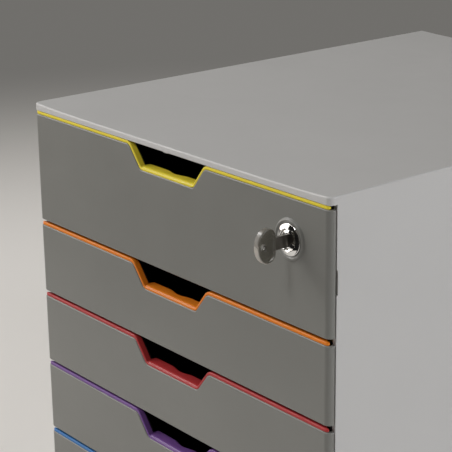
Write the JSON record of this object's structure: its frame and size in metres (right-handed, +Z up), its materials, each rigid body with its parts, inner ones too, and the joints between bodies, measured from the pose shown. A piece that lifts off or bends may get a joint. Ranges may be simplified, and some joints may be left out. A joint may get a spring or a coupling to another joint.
{
  "type": "drawer tower",
  "caption": "Plastic desktop drawer tower: open-fronted housing with sliding drawers, coloured finger-notch grips and a keyed cylinder lock on the tall top drawer.",
  "frame": {"origin": "on the resting plane, under the middle of the housing's width and depth", "axes": "+Z up, -Y out of the drawer fronts, +X to the right seen from the front"},
  "size_m": [0.28, 0.3795, 0.292],
  "materials": {
    "housing_plastic": "satin light grey moulding",
    "front_plastic": "satin dark grey moulding",
    "tray_plastic": "black moulding",
    "rail_plastic": "grey moulding",
    "foot_rubber": "matt black rubber",
    "screw_steel": "zinc plated",
    "chrome": "polished chrome",
    "key_metal": "nickel plated",
    "key_plastic": "smoky translucent moulding",
    "grip_yellow": "yellow moulding",
    "grip_orange": "orange moulding",
    "grip_red": "red moulding",
    "grip_purple": "purple moulding",
    "grip_blue": "blue moulding"
  },
  "bodies": {
    "housing": {"housing_shell": "housing_plastic", "base_tray": "housing_plastic", "rear_panel": "housing_plastic", "rubber_feet": "foot_rubber", "base_screws": "screw_steel", "rear_screws": "screw_steel", "rail_screws": "screw_steel", "strike_screws": "screw_steel", "lock_strike": "screw_steel", "runner_left_1": "rail_plastic", "runner_left_2": "rail_plastic", "runner_left_3": "rail_plastic", "runner_left_4": "rail_plastic", "runner_left_5": "rail_plastic", "runner_right_1": "rail_plastic", "runner_right_2": "rail_plastic", "runner_right_3": "rail_plastic", "runner_right_4": "rail_plastic", "runner_right_5": "rail_plastic"},
    "drawer_1": {"drawer_tray_1": "tray_plastic", "grip_frame_1": "grip_yellow", "front_panel_1": "front_plastic", "lock_body": "chrome", "lock_nut": "screw_steel"},
    "drawer_2": {"drawer_tray_2": "tray_plastic", "grip_frame_2": "grip_orange", "front_panel_2": "front_plastic"},
    "drawer_3": {"drawer_tray_3": "tray_plastic", "grip_frame_3": "grip_red", "front_panel_3": "front_plastic"},
    "drawer_4": {"drawer_tray_4": "tray_plastic", "grip_frame_4": "grip_purple", "front_panel_4": "front_plastic"},
    "drawer_5": {"drawer_tray_5": "tray_plastic", "grip_frame_5": "grip_blue", "front_panel_5": "front_plastic"},
    "plug": {"lock_plug": "chrome", "lock_cam": "screw_steel", "cam_screw": "screw_steel"},
    "key": {"key_blade": "key_metal", "key_bow": "key_plastic"}
  },
  "joints": [
    {"name": "drawer_1_slide", "type": "slide", "parent": "housing", "child": "drawer_1", "axis": [0, -1, 0], "range_m": [0, 0.24]},
    {"name": "drawer_2_slide", "type": "slide", "parent": "housing", "child": "drawer_2", "axis": [0, -1, 0], "range_m": [0, 0.24]},
    {"name": "drawer_3_slide", "type": "slide", "parent": "housing", "child": "drawer_3", "axis": [0, -1, 0], "range_m": [0, 0.24]},
    {"name": "drawer_4_slide", "type": "slide", "parent": "housing", "child": "drawer_4", "axis": [0, -1, 0], "range_m": [0, 0.24]},
    {"name": "drawer_5_slide", "type": "slide", "parent": "housing", "child": "drawer_5", "axis": [0, -1, 0], "range_m": [0, 0.24]},
    {"name": "lock_turn", "type": "hinge", "parent": "drawer_1", "child": "plug", "pos_m": [0.1088, -0.178, 0.262], "axis": [0, 1, 0], "range_deg": [0, 90]},
    {"name": "key_slide", "type": "slide", "parent": "plug", "child": "key", "axis": [0, -1, 0], "range_m": [0, 0.035]}
  ]
}
